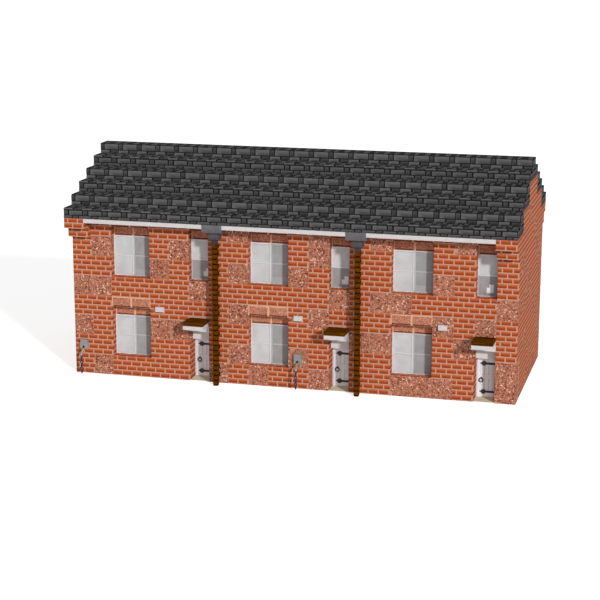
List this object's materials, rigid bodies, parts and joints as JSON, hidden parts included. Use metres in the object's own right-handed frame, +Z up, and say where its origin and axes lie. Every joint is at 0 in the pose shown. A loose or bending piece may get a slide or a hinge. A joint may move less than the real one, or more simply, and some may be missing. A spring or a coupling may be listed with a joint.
{
  "type": "terraced house row",
  "caption": "Row of two-storey brick terraced houses with a stepped slate roof, canopied front doors on iron straps and square downpipes; hollow, the doors open.",
  "frame": {"origin": "on the ground under the middle of the row", "axes": "+X runs along the row to the right as seen from the front, +Y points to the rear, +Z is up"},
  "size_m": [22, 11, 11],
  "materials": {
    "gable_brick": "matt weathered brick",
    "red_brick": "matt orange-red brick",
    "lintel_stone": "polished pink granite",
    "white_render": "painted stone",
    "sand_stone": "sawn sandstone",
    "floor_timber": "planed boards",
    "slate": "riven slate",
    "white_paint": "painted timber, satin",
    "grey_iron": "painted, matt",
    "brown_iron": "painted, matt",
    "clear_glass": "clear",
    "blind_cloth": "plain weave",
    "dark_timber": "stained timber",
    "white_plastic": "moulded",
    "tap_brass": "worn",
    "dark_steel": "dark paint",
    "door_timber": "weathered boards",
    "black_iron": "blacked"
  },
  "bodies": {
    "house": {"left_gable_wall": "gable_brick", "right_gable_wall": "gable_brick", "party_wall_1": "red_brick", "party_wall_2": "red_brick", "front_wall_1": "red_brick", "front_wall_2": "red_brick", "front_wall_3": "red_brick", "rear_wall_1": "red_brick", "rear_wall_2": "red_brick", "rear_wall_3": "red_brick", "over_door_walls": "red_brick", "front_lintels": "lintel_stone", "rear_lintels": "lintel_stone", "door_heads": "white_render", "ground_floors": "sand_stone", "door_thresholds": "sand_stone", "upper_floors": "floor_timber", "roof_front": "slate", "roof_rear": "slate", "roof_ridge": "slate", "eaves_boards": "white_paint", "hopper_heads": "grey_iron", "downpipes": "brown_iron", "pipe_brackets": "brown_iron", "front_window_frames": "white_paint", "rear_window_frames": "white_paint", "front_glass": "clear_glass", "rear_glass": "clear_glass", "window_blinds": "blind_cloth", "door_frames": "white_paint", "canopy_slabs": "white_paint", "canopy_boards": "dark_timber", "alarm_boxes": "white_plastic", "tap_plates": "grey_iron", "tap_spouts": "tap_brass", "tap_chains": "dark_steel"},
    "door_1": {"door_leaf_1": "door_timber", "door_straps_1": "black_iron", "door_ring_1": "black_iron"},
    "door_2": {"door_leaf_2": "door_timber", "door_straps_2": "black_iron", "door_ring_2": "black_iron"},
    "door_3": {"door_leaf_3": "door_timber", "door_straps_3": "black_iron", "door_ring_3": "black_iron"}
  },
  "joints": [
    {"name": "door_1_hinge", "type": "hinge", "parent": "house", "child": "door_1", "pos_m": [-4.053, -3.618, 0.99], "axis": [0, 0, -1], "range_deg": [0, 90]},
    {"name": "door_2_hinge", "type": "hinge", "parent": "house", "child": "door_2", "pos_m": [2.947, -3.618, 0.99], "axis": [0, 0, -1], "range_deg": [0, 90]},
    {"name": "door_3_hinge", "type": "hinge", "parent": "house", "child": "door_3", "pos_m": [9.947, -3.618, 0.99], "axis": [0, 0, -1], "range_deg": [0, 90]}
  ]
}
